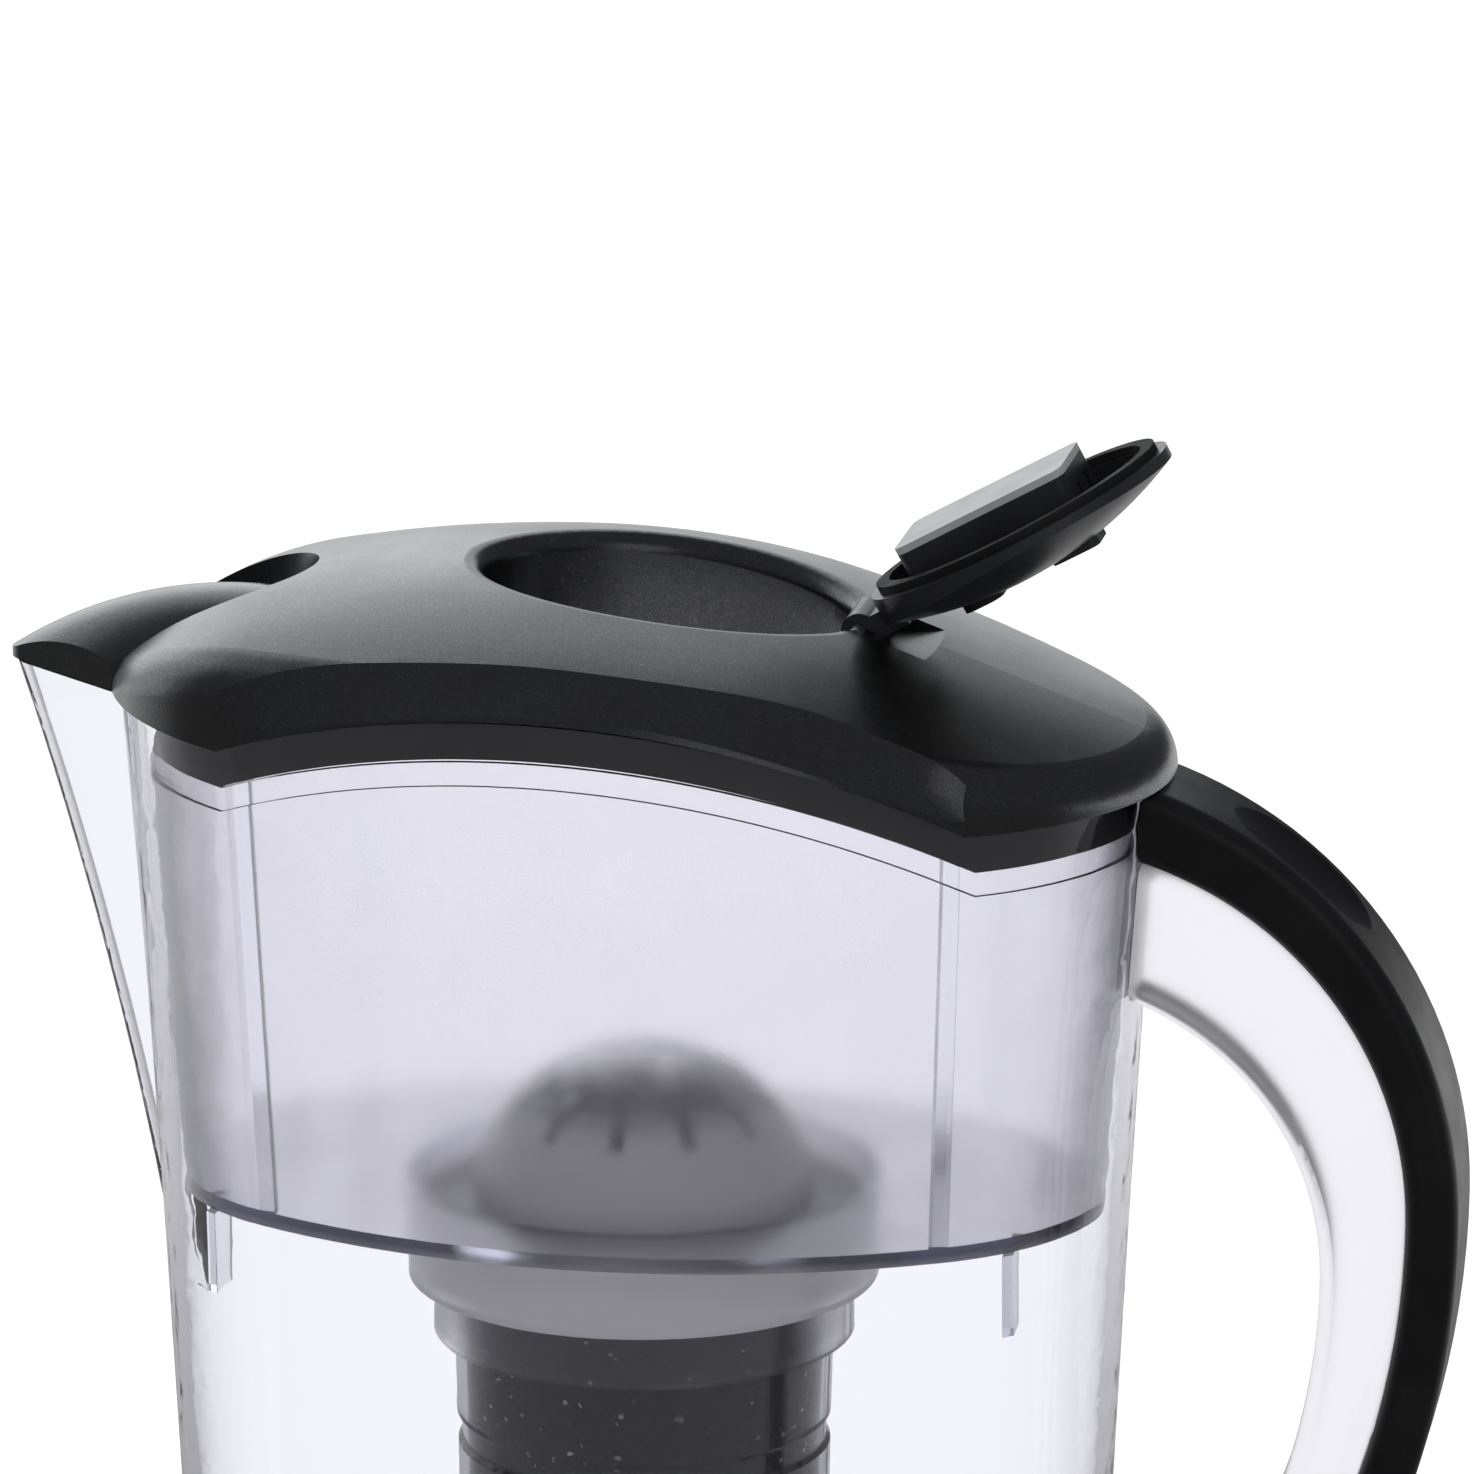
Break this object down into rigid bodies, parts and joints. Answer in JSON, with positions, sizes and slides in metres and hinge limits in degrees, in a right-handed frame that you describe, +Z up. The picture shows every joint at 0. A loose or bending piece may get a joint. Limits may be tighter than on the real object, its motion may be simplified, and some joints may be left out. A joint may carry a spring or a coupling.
{
  "type": "water filter pitcher",
  "caption": "Clear oval jug with a bowed handle, a drop-in filter hopper and cartridge, and a domed lid with a hinged refill flap, change timer and spout cover.",
  "frame": {"origin": "on the table, at the middle of the jug's flat foot", "axes": "+X along the jug from spout to handle, +Z up, +Y across the jug, away from the side in the picture"},
  "size_m": [0.2429, 0.1232, 0.2642],
  "materials": {
    "clear_jug": "clear",
    "frosted": "frosted",
    "black_satin": "satin",
    "graphite": "metallic gloss",
    "light_grey": "matte",
    "clear_case": "clear",
    "white_plastic": "matte",
    "mesh": "fine mesh",
    "granules": "granular, with pale specks",
    "seal_rubber": "matte",
    "board_green": "matte",
    "steel": "satin",
    "window": "gloss"
  },
  "bodies": {
    "jug": {"jug_body": "clear_jug", "handle_frame": "frosted", "handle_grip": "black_satin"},
    "hopper": {"hopper": "frosted"},
    "cartridge": {"neck_seal": "seal_rubber", "cartridge_case": "clear_case", "cartridge_cap": "white_plastic", "inlet_screen": "mesh", "filter_media": "granules", "outlet_screen": "mesh", "cartridge_base": "white_plastic"},
    "lid": {"lid_shell": "graphite", "lid_skirt": "black_satin", "flap_hinge_pin": "steel", "spout_hinge_pin": "steel"},
    "flap": {"refill_flap": "graphite", "flap_seal": "seal_rubber", "timer_housing": "black_satin", "battery_cover": "light_grey", "timer_board": "board_green", "coin_cell": "steel", "display_window": "window"},
    "button": {"timer_button": "light_grey"},
    "cover": {"spout_cover": "graphite"}
  },
  "joints": [
    {"name": "hopper_lift", "type": "slide", "parent": "jug", "child": "hopper", "axis": [0, 0, 1], "range_m": [0, 0.24]},
    {"name": "cartridge_lift", "type": "slide", "parent": "hopper", "child": "cartridge", "axis": [0, 0, 1], "range_m": [0, 0.055]},
    {"name": "lid_lift", "type": "slide", "parent": "hopper", "child": "lid", "axis": [0, 0, 1], "range_m": [0, 0.12]},
    {"name": "flap_hinge", "type": "hinge", "parent": "lid", "child": "flap", "pos_m": [0.037, 0, 0.2328], "axis": [0, -1, 0], "range_deg": [0, 144.4]},
    {"name": "button_press", "type": "slide", "parent": "flap", "child": "button", "axis": [-0.4787, 0, 0.878], "range_m": [0, 0.0007], "stiffness_N_per_m": 400, "springref_m": -0.0005},
    {"name": "cover_hinge", "type": "hinge", "parent": "lid", "child": "cover", "pos_m": [-0.0615, 0, 0.229], "axis": [0, 1, 0], "range_deg": [0, 65]}
  ]
}
